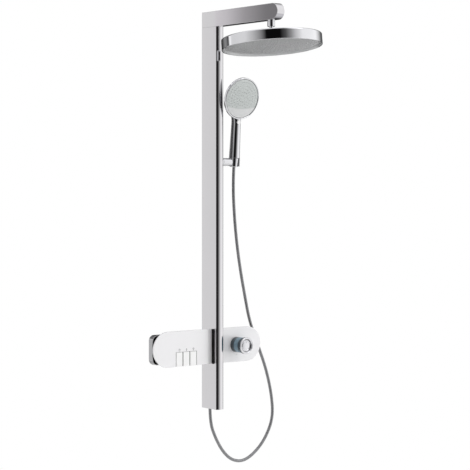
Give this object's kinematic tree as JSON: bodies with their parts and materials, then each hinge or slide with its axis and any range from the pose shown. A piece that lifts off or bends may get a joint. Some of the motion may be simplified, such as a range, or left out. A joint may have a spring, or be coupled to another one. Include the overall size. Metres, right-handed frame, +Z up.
{
  "type": "rainfall shower column",
  "caption": "Wall shower column: deep slim column with round-nosed arm, tilting round overhead shower, white glass control bar with keys and temperature knob, hand shower on a hose.",
  "frame": {"origin": "on the wall plane (the column's back face), on the column's centre line, level with the axis of the control bar", "axes": "+Z up along the column, +Y into the wall, +X to the right as the user sees it"},
  "size_m": [0.4135, 0.4121, 1.1777],
  "materials": {
    "polished_chrome": "mirror polished",
    "white_glass": "gloss white back-lacquered glass",
    "black_seal": "matte",
    "white_key": "gloss",
    "grey_nozzle_plate": "satin",
    "silicone": "soft matte",
    "black_plastic": "matte",
    "brass": "machined",
    "steel": "brushed",
    "slate_blue": "satin slate blue",
    "nylon": "matte",
    "chromed_plastic": "mirror chrome on plastic",
    "hose_silver": "silver hose"
  },
  "bodies": {
    "root": {"column_profile": "polished_chrome", "arm_profile": "polished_chrome", "neck_stud": "polished_chrome", "casing_left": "polished_chrome", "casing_right": "polished_chrome", "wall_escutcheon_hot": "polished_chrome", "wall_escutcheon_cold": "polished_chrome", "holder_stem": "polished_chrome", "holder_cone": "polished_chrome", "hose_end_nut": "polished_chrome", "panel_glass_left": "white_glass", "panel_glass_right": "white_glass", "panel_seal_left": "black_seal", "panel_seal_right": "black_seal", "glass_carrier_left": "black_plastic", "glass_carrier_right": "black_plastic", "column_end_plug": "black_plastic", "check_valves": "nylon", "valve_body": "brass", "valve_cartridges": "brass", "thermostatic_cartridge": "brass", "cartridge_nut": "brass", "riser_pipe": "brass", "hand_feed_pipe": "brass", "inlet_union_hot": "brass", "inlet_union_cold": "brass", "grub_screws": "steel", "wall_bracket_top": "steel", "wall_bracket_bottom": "steel", "arm_connector": "steel", "key_pivot_pin": "steel", "key_spring_1": "steel", "key_spring_2": "steel", "key_spring_3": "steel", "hose_tube": "hose_silver"},
    "head_gimbal": {"ball_seat_ring": "nylon"},
    "overhead": {"ball_nut": "polished_chrome", "head_shell": "chromed_plastic", "head_nozzle_mat": "silicone", "head_face_plate": "grey_nozzle_plate", "head_trim_ring": "chromed_plastic"},
    "knob": {"knob_spindle": "brass", "knob_sleeve": "slate_blue", "knob_bezel": "polished_chrome", "knob_cap": "chromed_plastic", "knob_screw": "steel"},
    "handset": {"handset_body": "chromed_plastic", "handset_rim": "chromed_plastic", "handset_face": "grey_nozzle_plate", "button_spring": "steel", "hose_cone_nut": "polished_chrome"},
    "button": {"spray_button": "white_key"},
    "key_1": {"selector_key_1": "white_key"},
    "plunger_1": {"valve_plunger_1": "steel"},
    "key_2": {"selector_key_2": "white_key"},
    "plunger_2": {"valve_plunger_2": "steel"},
    "key_3": {"selector_key_3": "white_key"},
    "plunger_3": {"valve_plunger_3": "steel"}
  },
  "joints": [
    {"name": "overhead_tilt_front", "type": "hinge", "parent": "root", "child": "head_gimbal", "pos_m": [0, -0.27, 0.79], "axis": [1, 0, 0], "range_deg": [-5.8, 18.2]},
    {"name": "overhead_tilt_side", "type": "hinge", "parent": "head_gimbal", "child": "overhead", "pos_m": [0, -0.27, 0.79], "axis": [0, 0.9942, -0.108], "range_deg": [-12, 12]},
    {"name": "temperature_knob", "type": "hinge", "parent": "root", "child": "knob", "pos_m": [0.0675, -0.06, 0], "axis": [0, -1, 0], "range_deg": [-120, 60]},
    {"name": "handset_lift", "type": "slide", "parent": "root", "child": "handset", "axis": [0, -0.0785, 0.9969], "range_m": [0, 0.06]},
    {"name": "spray_select", "type": "slide", "parent": "handset", "child": "button", "axis": [0, 0.9969, 0.0785], "range_m": [0, 0.002], "stiffness_N_per_m": 60, "springref_m": -0.002, "deforming": ["button_spring"]},
    {"name": "key_1_press", "type": "hinge", "parent": "root", "child": "key_1", "pos_m": [-0.115, -0.034, -0.004], "axis": [1, 0, 0], "range_deg": [0, 6], "stiffness_Nm_per_rad": 0.3, "springref_deg": -5.73, "deforming": ["key_spring_1"]},
    {"name": "plunger_1_stroke", "type": "slide", "parent": "root", "child": "plunger_1", "axis": [0, 1, 0], "range_m": [0, 0.0025]},
    {"name": "key_2_press", "type": "hinge", "parent": "root", "child": "key_2", "pos_m": [-0.0932, -0.034, -0.004], "axis": [1, 0, 0], "range_deg": [0, 6], "stiffness_Nm_per_rad": 0.3, "springref_deg": -5.73, "deforming": ["key_spring_2"]},
    {"name": "plunger_2_stroke", "type": "slide", "parent": "root", "child": "plunger_2", "axis": [0, 1, 0], "range_m": [0, 0.0025]},
    {"name": "key_3_press", "type": "hinge", "parent": "root", "child": "key_3", "pos_m": [-0.0714, -0.034, -0.004], "axis": [1, 0, 0], "range_deg": [0, 6], "stiffness_Nm_per_rad": 0.3, "springref_deg": -5.73, "deforming": ["key_spring_3"]},
    {"name": "plunger_3_stroke", "type": "slide", "parent": "root", "child": "plunger_3", "axis": [0, 1, 0], "range_m": [0, 0.0025]}
  ],
  "couplings": [
    {"joint": "plunger_1_stroke", "follows": "key_1_press", "m_per_rad": 0.023},
    {"joint": "plunger_2_stroke", "follows": "key_2_press", "m_per_rad": 0.023},
    {"joint": "plunger_3_stroke", "follows": "key_3_press", "m_per_rad": 0.023}
  ]
}
